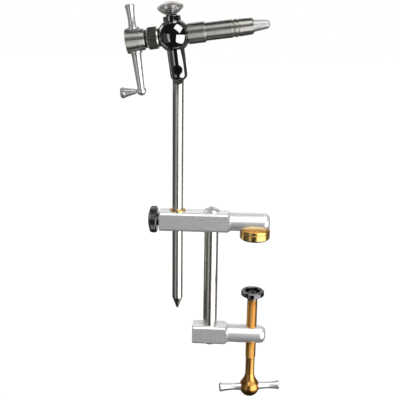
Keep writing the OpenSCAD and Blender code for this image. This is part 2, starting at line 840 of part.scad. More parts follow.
module stem_bush() {
    color("goldenrod") translate([stem_x, 0, upper_z + arm_flat + touch_gap]) difference() {
        union() {
            rounded_bar(bush_flange_d / 2, bush_flange_t, edge);
            translate([0, 0, -bush_l]) cylinder(d = bush_d, h = bush_l + edge);
        }
        translate([0, 0, -bush_l - over])
            cylinder(d = stem_d + 2 * run_gap, h = bush_l + bush_flange_t + 2 * over);
    }
}

// The shoe rests against the stem, between it and the lock screw
module lock_shoe() {
    color("goldenrod") translate([stem_x - stem_r - touch_gap - shoe_l, 0, upper_z]) along_x()
        cylinder(d = lock_screw_d - 2 * touch_gap, h = shoe_l);
}

module stem_lock_screw() {
    screw_front = stem_x - stem_r - shoe_l - 2 * touch_gap;
    screw_back = upper_end_x - lock_gap - lock_hub_l - lock_knob_t * socket_share;
    color("dimgray") translate([screw_back, 0, upper_z]) along_x()
        cylinder(d = lock_screw_d, h = screw_front - screw_back);
}

// The knob's own frame: up is away from the arm
module lock_frame() {
    translate([upper_end_x - lock_gap, 0, upper_z]) rotate([0, -90, 0]) children();
}

module stem_lock_knob() {
    knob_r = lock_knob_d / 2;
    root_r = knob_r - lock_rib_depth;
    rib_l = lock_knob_t - lock_knob_dome - 2 * lock_knob_chamfer;
    hole_l = lock_hub_l + lock_knob_t * socket_share;
    color([0.08, 0.08, 0.09]) lock_frame() difference() {
        union() {
            cylinder(d = lock_hub_d, h = lock_hub_l + edge);
            // the domed body, then the ribs round its side
            translate([0, 0, lock_hub_l]) intersection() {
                domed(root_r, lock_knob_t - lock_knob_dome, lock_knob_dome);
                turned([
                    [0, 0],
                    [root_r - lock_knob_chamfer, 0],
                    [root_r + over, lock_knob_chamfer + over],
                    [root_r + over, lock_knob_t + over],
                    [0, lock_knob_t + over]
                ]);
            }
            translate([0, 0, lock_hub_l + lock_knob_chamfer]) linear_extrude(rib_l)
                polygon(star(lock_knob_ribs, knob_r, root_r - edge));
        }
        // blind hole that the lock screw is fixed in
        translate([0, 0, -over]) cylinder(d = lock_screw_d + 2 * touch_gap, h = hole_l + over);
    }
}

// Stem

module stem() {
    top_r = stem_r + edge;
    flats_z = pivot_z - tang_drop + tang_runout_r;
    color("gainsboro") translate([stem_x, 0, 0]) difference() {
        intersection() {
            turned([
                [0, stem_bottom - stem_taper_l],
                [stem_tip_d / 2, stem_bottom - stem_taper_l],
                [stem_r, stem_bottom],
                [stem_r, pivot_z + top_r + over],
                [0, pivot_z + top_r + over]
            ]);
            union() {
                translate([-stem_d, -stem_d, stem_bottom - stem_taper_l - over])
                    cube([2 * stem_d, 2 * stem_d, stem_l + stem_taper_l + over]);
                translate([0, -stem_d, pivot_z]) along_y() cylinder(r = top_r, h = 2 * stem_d);
            }
        }
        // flats of the tang, with a round run-out at their foot
        for (side = [-1, 1]) translate([0, side * (tang_t / 2 + stem_d / 2), 0]) {
            translate([-tang_runout_r, -stem_d / 2, flats_z])
                cube([2 * tang_runout_r, stem_d, tang_drop + top_r]);
            translate([0, -stem_d / 2, flats_z]) along_y() cylinder(r = tang_runout_r, h = stem_d);
        }
        // pivot hole
        translate([0, -stem_d, pivot_z]) along_y() cylinder(d = tilt_screw_d + 2 * run_gap, h = 2 * stem_d);
    }
}

// The tilt pivot's frame: up is towards the front
module pivot_frame() {
    head_frame() translate([0, 0, -pivot_to_ball]) rotate([90, 0, 0]) children();
}

module tilt_screw() {
    yoke_r = yoke_d / 2;
    head_seat = yoke_r - tilt_seat;
    color("dimgray") pivot_frame() difference() {
        union() {
            translate([0, 0, head_seat]) rounded_bar(tilt_head_d / 2, tilt_head_h, edge);
            translate([0, 0, tilt_end_inset - yoke_r])
                cylinder(d = tilt_screw_d, h = head_seat + yoke_r + edge - tilt_end_inset);
        }
        translate([0, 0, head_seat + tilt_head_h]) hex_socket(tilt_socket, tilt_head_h * socket_share);
    }
}

// Head

// The yoke that hangs below the ball and straddles the stem's tang
module yoke() {
    yoke_l = pivot_to_ball + yoke_drop;
    mirror([0, 0, 1]) rounded_bar(yoke_d / 2, yoke_l, yoke_end_r);
}

module head_housing() {
    yoke_r = yoke_d / 2;
    slot_w = tang_t + 2 * run_gap;
    shoe_top = journal_d / 2 + touch_gap + drag_shoe_h;
    color([0.05, 0.05, 0.06]) head_frame() difference() {
        union() {
            // the ball, flat at both ends of its bore, and the collar behind it
            intersection() {
                sphere(d = ball_d);
                along_x() translate([0, 0, -rear_face])
                    cylinder(d = ball_d + over, h = rear_face + front_face);
            }
            along_x() translate([0, 0, -rear_face]) cylinder(d = rear_collar_d, h = rear_face);
            // the boss and the neck of the drag screw, and the yoke
            rounded_bar(boss_d / 2, boss_top, edge);
            cylinder(d = neck_d, h = neck_top);
            yoke();
        }
        // bore of the bushings
        along_x() translate([0, 0, -rear_face - over])
            cylinder(d = bushing_d + 2 * touch_gap, h = rear_face + front_face + 2 * over);
        // holes of the drag shoe and the drag screw
        cylinder(d = drag_shoe_d + 2 * run_gap, h = shoe_top + drag_backoff + face_gap);
        cylinder(d = drag_screw_d + 2 * run_gap, h = neck_top + over);
        // slot for the tang, seat and hole of the tilt screw
        translate([0, 0, -pivot_to_ball]) {
            translate([-yoke_d, -slot_w / 2, -yoke_drop - over])
                cube([2 * yoke_d, slot_w, yoke_drop + yoke_slot_rise + over]);
            rotate([90, 0, 0]) {
                translate([0, 0, -yoke_r - over])
                    cylinder(d = tilt_screw_d + 2 * touch_gap, h = yoke_d + 2 * over);
                translate([0, 0, yoke_r - tilt_seat])
                    cylinder(d = tilt_head_d + 2 * loose_gap, h = tilt_seat + over);
            }
        }
    }
}

module housing_bushings() {
    color("peru") jaw_axis() for (start = [-rear_face, front_face - bushing_l])
        translate([0, 0, start]) difference() {
            cylinder(d = bushing_d, h = bushing_l);
            translate([0, 0, -over]) cylinder(d = journal_d + 2 * run_gap, h = bushing_l + 2 * over);
        }
}

// Drag

module drag_shoe() {
    color("ivory") head_frame() translate([0, 0, journal_d / 2 + touch_gap])
        cylinder(d = drag_shoe_d, h = drag_shoe_h);
}

module drag_screw() {
    screw_foot = journal_d / 2 + drag_shoe_h + 2 * touch_gap;
    color("gainsboro") head_frame() translate([0, 0, screw_foot])
        cylinder(d = drag_screw_d, h = neck_top + drag_grip - screw_foot);
}

module drag_knob() {
    color("gainsboro") head_frame() translate([0, 0, neck_top + face_gap]) difference() {
        domed_knob(drag_knob_d / 2, drag_foot_d / 2, drag_bowl_h, drag_rim_h, drag_dome_h);
        translate([0, 0, -over]) cylinder(d = drag_screw_d + 2 * touch_gap, h = drag_grip + over);
    }
}

// Rotary group, drawn up the jaw axis

module jaw_sleeve() {
    journal_r = journal_d / 2;
    r1 = step_1_d / 2;
    r2 = step_2_d / 2;
    start = front_face + face_gap;
    ring_start = step_2_end + groove_w;
    color("darkgray") jaw_axis() difference() {
        turned([
            [0, -journal_end],
            [journal_r - edge, -journal_end],
            [journal_r, -journal_end + edge],
            [journal_r, start],
            [r1 - step_chamfer, start],
            [r1, start + step_chamfer],
            [r1, step_1_end - step_chamfer],
            [r1 - step_chamfer, step_1_end],
            [r2, step_1_end],
            [r2, step_2_end - edge],
            [r2 - edge, step_2_end],
            [r2 - groove_depth, step_2_end],
            [r2 - groove_depth, ring_start],
            [r2 - edge, ring_start],
            [r2, ring_start + edge],
            [r2, sleeve_end - edge],
            [r2 - edge, sleeve_end],
            [0, sleeve_end]
        ]);
        // bore of the drawbar, then the wide bore and the thread of the nose piece
        translate([0, 0, -journal_end - over])
            cylinder(d = drawbar_d + 2 * run_gap, h = journal_end + wide_bore_x + 2 * over);
        translate([0, 0, wide_bore_x]) cylinder(d = wide_bore_d, h = mouth_x);
        translate([0, 0, sleeve_end - nose_spigot_l - touch_gap])
            cylinder(d = nose_spigot_d + 2 * touch_gap, h = nose_spigot_l + over);
        // hole of the key screw, at the underside
        translate([0, 0, key_screw_x]) rotate([0, 90, 0])
            cylinder(d = key_screw_d + 2 * touch_gap, h = step_1_d);
    }
}

module sleeve_nose() {
    r2 = step_2_d / 2;
    cone_start = mouth_x - jaw_cone_l;
    mouth_r = jaw_mouth_d / 2 + run_gap;
    color("darkgray") jaw_axis() difference() {
        turned([
            [0, sleeve_end - nose_spigot_l],
            [nose_spigot_d / 2, sleeve_end - nose_spigot_l],
            [nose_spigot_d / 2, sleeve_end],
            [r2 - groove_depth, sleeve_end],
            [r2 - groove_depth, sleeve_end + groove_w],
            [step_3_d / 2 - edge, sleeve_end + groove_w],
            [step_3_d / 2, sleeve_end + groove_w + edge],
            [mouth_d / 2, mouth_x - mouth_chamfer],
            [mouth_d / 2 - mouth_chamfer, mouth_x],
            [0, mouth_x]
        ]);
        translate([0, 0, wide_bore_x]) cylinder(d = wide_bore_d, h = cone_start - wide_bore_x);
        turned([
            [0, wide_bore_x],
            [mouth_r - jaw_cone_l * jaw_cone_slope, wide_bore_x],
            [mouth_r - jaw_cone_l * jaw_cone_slope, cone_start],
            [mouth_r + over * jaw_cone_slope, mouth_x + over],
            [0, mouth_x + over]
        ]);
    }
}

module knurled_collar() {
    root_r = collar_d / 2 - collar_tooth_depth;
    core_r = root_r - knurl_step;
    end_r = collar_end_d / 2;
    knurl_l = collar_rear - collar_front - 2 * collar_chamfer;
    color("gray") jaw_axis() difference() {
        union() {
            turned([
                [0, -collar_rear],
                [end_r, -collar_rear],
                [core_r, -collar_rear + collar_chamfer],
                [core_r, -collar_front - collar_chamfer],
                [end_r, -collar_front],
                [0, -collar_front]
            ]);
            translate([0, 0, -collar_rear + collar_chamfer]) linear_extrude(knurl_l)
                polygon(star(collar_teeth, collar_d / 2, root_r));
        }
        translate([0, 0, -collar_rear - over])
            cylinder(d = journal_d + 2 * touch_gap, h = collar_rear - collar_front + 2 * over);
        // hole of the set screw, at the back
        translate([0, 0, -(collar_rear + collar_front) / 2]) along_y()
            cylinder(d = collar_screw_d + 2 * touch_gap, h = collar_d);
    }
}

module collar_screw() {
    collar_middle = (collar_rear + collar_front) / 2;
    foot_y = journal_d / 2 + touch_gap;
    color("black") jaw_axis() translate([0, foot_y, -collar_middle]) along_y() difference() {
        cylinder(d = collar_screw_d, h = collar_screw_l);
        translate([0, 0, collar_screw_l]) hex_socket(collar_socket, collar_screw_l * socket_share);
    }
}

module rubber_ring() {
    color("black") jaw_axis() translate([0, 0, -(collar_rear + hub_front) / 2])
        rotate_extrude() translate([(rubber_d - rubber_t) / 2, 0]) circle(d = rubber_t);
}

module key_screw() {
    foot_r = drawbar_d / 2 - key_depth + loose_gap;
    color("dimgray") jaw_axis() translate([foot_r, 0, key_screw_x]) rotate([0, 90, 0])
        cylinder(d = key_screw_d, h = step_1_d / 2 - step_chamfer - foot_r);
}

module return_spring() {
    spring_l = spring_collar_x - wide_bore_x - 2 * touch_gap;
    color("lightgray") jaw_axis() translate([0, 0, wide_bore_x + touch_gap])
        coil_spring(wide_bore_d - 2 * face_gap, spring_wire, spring_l, spring_turns);
}

// Draw hub with its lever and crank

module draw_hub() {
    rear_r = hub_rear_d / 2;
    front_r = hub_front_d / 2;
    groove_r = front_r + (rear_r - front_r) * (hub_groove_x - hub_front) / hub_length;
    cap_r = (rear_r * rear_r + hub_dome * hub_dome) / (2 * hub_dome);
    color("darkgray") jaw_axis() difference() {
        rotate_extrude() intersection() {
            polygon([
                [0, -hub_rear],
                [rear_r - edge, -hub_rear],
                [rear_r, -hub_rear + edge],
                [groove_r, -hub_groove_x - edge],
                [groove_r - edge, -hub_groove_x],
                [groove_r, -hub_groove_x + edge],
                [front_r, -hub_front - hub_chamfer],
                [front_r - hub_chamfer, -hub_front],
                [0, -hub_front]
            ]);
            translate([0, cap_r - hub_rear]) circle(r = cap_r, $fn = 360);
        }
        // bearing on the sleeve's end, then the thread that pulls the drawbar
        translate([0, 0, -journal_end - face_gap]) cylinder(d = journal_d + 2 * run_gap, h = journal_end);
        translate([0, 0, -drawbar_rear - hole_spare]) cylinder(d = drawbar_d + 2 * run_gap, h = drawbar_rear);
        // flats and tapped holes of the lever and the crank
        for (side = [-90, 90]) translate([0, 0, -cross_x]) rotate([0, side, 0]) {
            translate([0, 0, cross_seat]) cylinder(d = cross_collar_d + 2 * loose_gap, h = rear_r);
            translate([0, 0, cross_seat - stud_l]) cylinder(d = stud_d + 2 * touch_gap, h = stud_l + over);
        }
    }
}

// The stud and the collar that the lever and the crank share
module cross_foot() {
    translate([0, 0, cross_seat - stud_l + end_gap]) cylinder(d = stud_d, h = stud_l);
    translate([0, 0, cross_seat]) rounded_bar(cross_collar_d / 2, cross_collar_h, cross_edge_r);
}

module jaw_lever() {
    color("gainsboro") head_frame() translate([-cross_x, 0, 0]) {
        cross_foot();
        translate([0, 0, cross_seat])
            waisted_leg(lever_reach - cross_seat, lever_base_d, lever_waist_d, lever_tip_d);
    }
}

module crank_arm() {
    leg_l = crank_reach - cross_seat;
    color("gainsboro") head_frame() translate([-cross_x, 0, 0]) mirror([0, 0, 1]) difference() {
        union() {
            cross_foot();
            translate([0, 0, cross_seat]) cylinder(d1 = crank_base_d, d2 = crank_thin_d, h = leg_l);
            translate([0, 0, crank_reach]) sphere(d = crank_ball_d);
        }
        // tapped hole of the knob's pin
        translate([-crank_ball_d, 0, crank_reach]) along_x()
            cylinder(d = knob_pin_d + 2 * touch_gap, h = crank_ball_d + pin_grip);
    }
}

// The knob's own frame: up is away from the crank's end ball
module knob_frame() {
    knob_x = -cross_x - crank_ball_d / 2 - face_gap;
    head_frame() translate([knob_x, 0, -crank_reach]) rotate([0, -90, 0]) children();
}

module crank_knob() {
    knob_l = knob_cone_l + knob_flange_w;
    color("gainsboro") knob_frame() difference() {
        union() {
            cylinder(d1 = knob_small_d, d2 = knob_cone_d, h = knob_cone_l + edge);
            translate([0, 0, knob_cone_l]) turned([
                [0, 0],
                [knob_flange_d / 2 - knob_edge, 0],
                [knob_flange_d / 2, knob_edge],
                [knob_flange_d / 2, knob_flange_w - knob_edge],
                [knob_flange_d / 2 - knob_edge, knob_flange_w],
                [0, knob_flange_w]
            ]);
        }
        translate([0, 0, -over]) cylinder(d = knob_pin_d + 2 * run_gap, h = knob_l + 2 * over);
        translate([0, 0, knob_l - knob_pin_head_h - face_gap])
            cylinder(d = knob_pin_head_d + 2 * loose_gap, h = knob_pin_head_h + over);
    }
}

module crank_knob_pin() {
    head_seat = knob_cone_l + knob_flange_w - knob_pin_head_h;
    pin_foot = -crank_ball_d / 2 - face_gap - pin_grip + end_gap;
    color("dimgray") knob_frame() difference() {
        union() {
            translate([0, 0, pin_foot]) cylinder(d = knob_pin_d, h = head_seat - pin_foot + edge);
            translate([0, 0, head_seat - face_gap / 2]) cylinder(d = knob_pin_head_d, h = knob_pin_head_h);
        }
        translate([0, 0, head_seat + knob_pin_head_h])
            hex_socket(knob_pin_socket, knob_pin_head_h * socket_share);
    }
}

// Jaws

module drawbar() {
    bar_r = drawbar_d / 2;
    neck_start = jaw_tail_x - face_gap;
    button_start = jaw_tail_x + hook_l + face_gap;
    bar_turns = floor((drawbar_rear - journal_end) / bar_pitch);
    slot_l = key_screw_d + draw_lead * hub_turn_share + 2 * face_gap;
    slot_end = key_screw_x + key_screw_d / 2 + face_gap;
    color("gainsboro") jaw_axis() difference() {
        turned(concat(
            [[0, -drawbar_rear]],
            [for (i = [0 : bar_turns - 1]) each [
                [bar_r - bar_thread_depth, -drawbar_rear + i * bar_pitch],
                [bar_r, -drawbar_rear + (i + crest_share) * bar_pitch]
            ]],
            [
                [bar_r, -journal_end],
                [bar_r, spring_collar_x],
                [spring_collar_d / 2, spring_collar_x],
                [spring_collar_d / 2, spring_collar_x + spring_collar_l],
                [bar_r, spring_collar_x + spring_collar_l],
                [bar_r, neck_start],
                [button_neck_d / 2, neck_start],
                [button_neck_d / 2, button_start],
                [button_d / 2, button_start],
                [button_d / 2, button_start + button_l],
                [0, button_start + button_l]
            ]
        ));
        // slot of the key screw, at the underside
        translate([bar_r - key_depth, -key_screw_d / 2 - run_gap, slot_end - slot_l])
            cube([drawbar_d, key_screw_d + 2 * run_gap, slot_l]);
    }
}

// The upper jaw in the head's frame; the lower one is its mirror image
module jaw() {
    mouth_r = jaw_mouth_d / 2;
    nose_r = jaw_nose_d / 2;
    nose_start = jaw_nose - jaw_nose_r;
    cone_start = mouth_x - jaw_cone_l;
    pocket_start = jaw_tail_x + hook_l;
    difference() {
        along_x() difference() {
            turned(concat(
                [
                    [0, jaw_tail_x],
                    [jaw_tail_d / 2, jaw_tail_x],
                    [jaw_tail_d / 2, cone_start],
                    [mouth_r - jaw_cone_l * jaw_cone_slope, cone_start],
                    [mouth_r, mouth_x]
                ],
                [
                    for (a = [0 : 10 : 90])
                        [nose_r - jaw_nose_r * (1 - cos(a)), nose_start + jaw_nose_r * sin(a)]
                ],
                [[0, jaw_nose]]
            ));
            // the hook and the pocket for the drawbar's button
            translate([0, 0, jaw_tail_x - over])
                cylinder(d = button_neck_d + 2 * loose_gap, h = hook_l + 2 * over);
            translate([0, 0, pocket_start])
                cylinder(d = button_d + 2 * loose_gap, h = button_l + 2 * face_gap);
        }
        // the split, closer between the lips
        translate([0, -jaw_mouth_d, -jaw_mouth_d]) {
            cube([jaw_nose - lip_l, 2 * jaw_mouth_d, jaw_mouth_d + jaw_gap / 2]);
            cube([2 * jaw_nose, 2 * jaw_mouth_d, jaw_mouth_d + lip_gap / 2]);
        }
        // pocket of the jaw spring
        translate([jaw_spring_x, 0, 0])
            cylinder(d = jaw_spring_d + 2 * loose_gap, h = jaw_spring_l / 2 + touch_gap);
    }
}

module upper_jaw() {
    color("lightgray") head_frame() jaw();
}

module lower_jaw() {
    color("lightgray") head_frame() mirror([0, 0, 1]) jaw();
}

module jaw_spring() {
    color("lightgray") head_frame() translate([jaw_spring_x, 0, -jaw_spring_l / 2])
        coil_spring(jaw_spring_d, jaw_spring_wire, jaw_spring_l, jaw_spring_turns);
}

upper_arm();
lower_arm();
clamp_post();
post_top_screw();
post_bottom_screw();
fixed_pad();
clamp_screw();
clamp_handle();
cup_pad();
cup_pad_screw();
stem_bush();
lock_shoe();
stem_lock_screw();
stem_lock_knob();
stem();
tilt_screw();
head_housing();
housing_bushings();
drag_shoe();
drag_screw();
drag_knob();
jaw_sleeve();
sleeve_nose();
knurled_collar();
collar_screw();
rubber_ring();
key_screw();
return_spring();
draw_hub();
jaw_lever();
crank_arm();
crank_knob();
crank_knob_pin();
drawbar();
upper_jaw();
lower_jaw();
jaw_spring();
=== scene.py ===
"""Looks of the fly tying vise: materials, fine detail, studio and camera. Metres, in the CAD frame."""

import json
import math

import bpy
from mathutils import Matrix, Vector


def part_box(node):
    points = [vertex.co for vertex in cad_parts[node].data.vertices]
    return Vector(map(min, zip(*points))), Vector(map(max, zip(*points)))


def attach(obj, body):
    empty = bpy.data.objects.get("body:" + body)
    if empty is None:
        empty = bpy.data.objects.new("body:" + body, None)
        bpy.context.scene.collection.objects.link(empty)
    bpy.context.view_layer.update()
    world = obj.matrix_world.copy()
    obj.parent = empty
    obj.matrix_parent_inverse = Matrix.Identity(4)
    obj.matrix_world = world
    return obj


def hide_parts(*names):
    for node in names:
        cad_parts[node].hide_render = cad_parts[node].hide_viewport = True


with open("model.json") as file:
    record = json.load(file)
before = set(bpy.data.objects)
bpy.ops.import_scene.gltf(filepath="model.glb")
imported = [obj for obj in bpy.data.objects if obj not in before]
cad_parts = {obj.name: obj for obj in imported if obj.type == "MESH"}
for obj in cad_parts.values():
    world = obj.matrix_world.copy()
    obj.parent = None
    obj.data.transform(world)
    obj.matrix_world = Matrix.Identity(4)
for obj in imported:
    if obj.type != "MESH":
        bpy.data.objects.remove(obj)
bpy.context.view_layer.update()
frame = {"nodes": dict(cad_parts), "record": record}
nodes = frame["nodes"]

mm = 0.001

# The jaws' axis, which runs through the ball's centre
jaw_tilt = math.radians(7.5)
jaw_axis = Vector((math.cos(jaw_tilt), 0, math.sin(jaw_tilt)))
ball = Vector((-73.0047, 0, 175.5605)) * mm


# Camera

camera_place = Vector((-20.8, -547.8, 181.5)) * mm
camera_yaw = math.radians(3.0)
camera_pitch = math.radians(15.0)
camera_roll = math.radians(0.76)
sensor = 36.0
focal_share = 1.6
nearest = 0.01
farthest = 50


def make_camera():
    forward = Vector((
        -math.sin(camera_yaw) * math.cos(camera_pitch),
        math.cos(camera_yaw) * math.cos(camera_pitch),
        -math.sin(camera_pitch),
    ))
    level = Vector((math.cos(camera_yaw), math.sin(camera_yaw), 0))
    upright = level.cross(forward)
    right = level * math.cos(camera_roll) + upright * math.sin(camera_roll)
    up = upright * math.cos(camera_roll) - level * math.sin(camera_roll)
    data = bpy.data.cameras.new("camera")
    data.sensor_width = sensor
    data.lens = sensor * focal_share
    data.clip_start = nearest
    data.clip_end = farthest
    camera = bpy.data.objects.new("camera", data)
    bpy.context.scene.collection.objects.link(camera)
    turn = Matrix((right, up, -forward)).transposed()
    camera.matrix_world = Matrix.Translation(camera_place) @ turn.to_4x4()
    bpy.context.scene.camera = camera


# Node trees

class Tree:
    """A material's or world's node tree, with short calls for the nodes used here."""

    def __init__(self, owner):
        owner.use_nodes = True
        self.tree = owner.node_tree
        self.tree.nodes.clear()

    def add(self, kind, **settings):
        node = self.tree.nodes.new(kind)
        for name, value in settings.items():
            setattr(node, name, value)
        return node

    def join(self, start, end):
        self.tree.links.new(start, end)

    def place(self, scale, tilt=0.0):
        """The object's own coordinates, turned about Y by the tilt and stretched."""
        where = self.add("ShaderNodeTexCoord").outputs["Object"]
        if tilt:
            turned = self.add("ShaderNodeMapping", vector_type="POINT")
            turned.inputs["Rotation"].default_value = (0, tilt, 0)
            self.join(where, turned.inputs["Vector"])
            where = turned.outputs["Vector"]
        stretched = self.add("ShaderNodeMapping", vector_type="POINT")
        stretched.inputs["Scale"].default_value = scale
        self.join(where, stretched.inputs["Vector"])
        return stretched.outputs["Vector"]

    def noise(self, where, detail, rough=0.6):
        node = self.add("ShaderNodeTexNoise")
        node.inputs["Scale"].default_value = 1.0
        node.inputs["Detail"].default_value = detail
        node.inputs["Roughness"].default_value = rough
        self.join(where, node.inputs["Vector"])
        return node.outputs["Fac"]

    def span(self, value, low, high, first=0.3, last=0.7):
        """The value from first..last carried to low..high."""
        node = self.add("ShaderNodeMapRange")
        node.inputs["From Min"].default_value = first
        node.inputs["From Max"].default_value = last
        node.inputs["To Min"].default_value = low
        node.inputs["To Max"].default_value = high
        self.join(value, node.inputs["Value"])
        return node.outputs["Result"]

    def maths(self, kind, *values):
        """A sum, product, maximum or the like of one or two values."""
        node = self.add("ShaderNodeMath", operation=kind)
        for socket, value in zip(node.inputs, values):
            if isinstance(value, (int, float)):
                socket.default_value = value
            else:
                self.join(value, socket)
        return node.outputs[0]

    def vectors(self, kind, *values, output="Vector"):
        """The same for vectors; a length and a dot product come out as Value."""
        node = self.add("ShaderNodeVectorMath", operation=kind)
        for socket, value in zip(node.inputs, values):
            if isinstance(value, Vector):
                socket.default_value = value
            else:
                self.join(value, socket)
        return node.outputs[output]

    def blend(self, share, one, other):
        """From one colour at share 0 to the other at share 1."""
        node = self.add("ShaderNodeMix", data_type="RGBA")
        for name, colour in (("A", one), ("B", other)):
            socket = next(s for s in node.inputs if s.name == name and s.type == "RGBA")
            socket.default_value = (*colour, 1)
        self.join(share, node.inputs["Factor"])
        return next(s for s in node.outputs if s.type == "RGBA")

    def across_turning(self, point, axis):
        """The direction across the fine grooves that a lathe leaves round that axis."""
        place = self.add("ShaderNodeTexCoord")
        out = self.vectors("SUBTRACT", place.outputs["Object"], point)
        groove = self.vectors("CROSS_PRODUCT", axis, out)
        across = self.vectors("CROSS_PRODUCT", groove, place.outputs["Normal"])
        turned = self.add("ShaderNodeVectorTransform", vector_type="VECTOR")
        turned.convert_from = "OBJECT"
        turned.convert_to = "WORLD"
        self.join(across, turned.inputs[0])
        return turned.outputs[0]

    def bump(self, height, depth):
        """A bump of that depth in metres."""
        node = self.add("ShaderNodeBump")
        node.inputs["Distance"].default_value = depth
        self.join(height, node.inputs["Height"])
        return node.outputs["Normal"]

    def shader(self, **values):
        """The Principled shader, with each value set on its socket or joined to it."""
        node = self.add("ShaderNodeBsdfPrincipled")
        for name, value in values.items():
            socket = node.inputs[name.replace("_", " ")]
            if isinstance(value, tuple):
                socket.default_value = (*value, 1)
            elif isinstance(value, (int, float)):
                socket.default_value = value
            else:
                self.join(value, socket)
        self.end("Surface", node.outputs["BSDF"])
        return node

    def light(self, colour, strength):
        """An emission of that colour and strength."""
        node = self.add("ShaderNodeEmission")
        node.inputs["Color"].default_value = (*colour, 1)
        if isinstance(strength, (int, float)):
            node.inputs["Strength"].default_value = strength
        else:
            self.join(strength, node.inputs["Strength"])
        return node.outputs[0]

    def mix(self, share, one, other):
        """From one shader at share 0 to the other at share 1."""
        node = self.add("ShaderNodeMixShader")
        self.join(share, node.inputs["Fac"])
        self.join(one, node.inputs[1])
        self.join(other, node.inputs[2])
        return node.outputs[0]

    def end(self, socket, value, kind="ShaderNodeOutputMaterial"):
        self.join(value, self.add(kind).inputs[socket])


# Materials

def metal(name, colour, worn, roughness, spread, grain, depth, tilt=0.0, axis=None, metallic=1.0):
    """A metal whose grain is stretched by the grain's three scales, with faint handling marks."""
    marks_scale = (90, 90, 90)
    turned_shine = 0.85
    material = bpy.data.materials.new(name)
    tree = Tree(material)
    lines = tree.noise(tree.place(grain, tilt), detail=4.0)
    marks = tree.noise(tree.place(marks_scale), detail=5.0)
    dull_lines = tree.span(lines, roughness - spread, roughness + spread)
    dull_marks = tree.span(marks, 0, spread)
    shader = tree.shader(
        Base_Color=tree.blend(tree.span(marks, 0, 1, first=0.35), colour, worn),
        Metallic=metallic,
        Roughness=tree.maths("ADD", dull_lines, dull_marks),
        Normal=tree.bump(lines, depth * mm),
    )
    if axis:
        shader.inputs["Anisotropic"].default_value = turned_shine
        tree.join(tree.across_turning(*axis), shader.inputs["Tangent"])
    return material


def knurled_metal(name):
    """Steel with painted shade in the roots of the collar's knurl, darkest at the bottom of the roots, and
    its plain colour on its crests and past the knurl.
    """
    knurl_middle = 17.6 * mm
    knurl_half = 3.7 * mm
    root_r = 8.72 * mm
    crest_r = 9.1 * mm
    # painted shade for the knurl's roots, standing in for the shade that falls in the grooves
    root_painted_shade = (0.27, 0.26, 0.23)
    crest_colour = (0.9, 0.88, 0.8)
    least_rough = 0.26
    most_rough = 0.34
    grain_scale = (600, 600, 600)
    grain_depth = 0.002 * mm
    material = bpy.data.materials.new(name)
    tree = Tree(material)
    where = tree.add("ShaderNodeTexCoord").outputs["Object"]
    out = tree.vectors("SUBTRACT", where, ball)
    radius = tree.vectors("LENGTH", tree.vectors("CROSS_PRODUCT", jaw_axis, out), output="Value")
    along = tree.vectors("DOT_PRODUCT", jaw_axis, out, output="Value")
    from_middle = tree.maths("ABSOLUTE", tree.maths("ADD", along, knurl_middle))
    past_knurl = tree.maths("GREATER_THAN", from_middle, knurl_half)
    # 0 in the roots, which take the painted shade, and 1 on the crests and past the knurl
    bright = tree.maths("MAXIMUM", tree.span(radius, 0, 1, root_r, crest_r), past_knurl)
    grain = tree.noise(tree.place(grain_scale), detail=4.0)
    tree.shader(
        Base_Color=tree.blend(bright, root_painted_shade, crest_colour),
        Metallic=1.0,
        Roughness=tree.span(grain, least_rough, most_rough),
        Normal=tree.bump(grain, grain_depth),
    )
    return material


def plastic(name, colour, roughness, ior):
    """A plastic or rubber with cloudy marks and a fine skin."""
    marks_scale = (140, 140, 140)
    skin_scale = (1500, 1500, 1500)
    skin_depth = 0.001 * mm
    paler = 1.5
    smoother = 0.8
    duller = 1.4
    worn = tuple(c * paler for c in colour)
    material = bpy.data.materials.new(name)
    tree = Tree(material)
    marks = tree.noise(tree.place(marks_scale), detail=6.0, rough=0.65)
    skin = tree.noise(tree.place(skin_scale), detail=2.0, rough=0.55)
    tree.shader(
        Base_Color=tree.blend(tree.span(marks, 0, 1), colour, worn),
        Roughness=tree.span(marks, roughness * smoother, roughness * duller),
        Normal=tree.bump(skin, skin_depth),
        IOR=ior,
    )
    return material


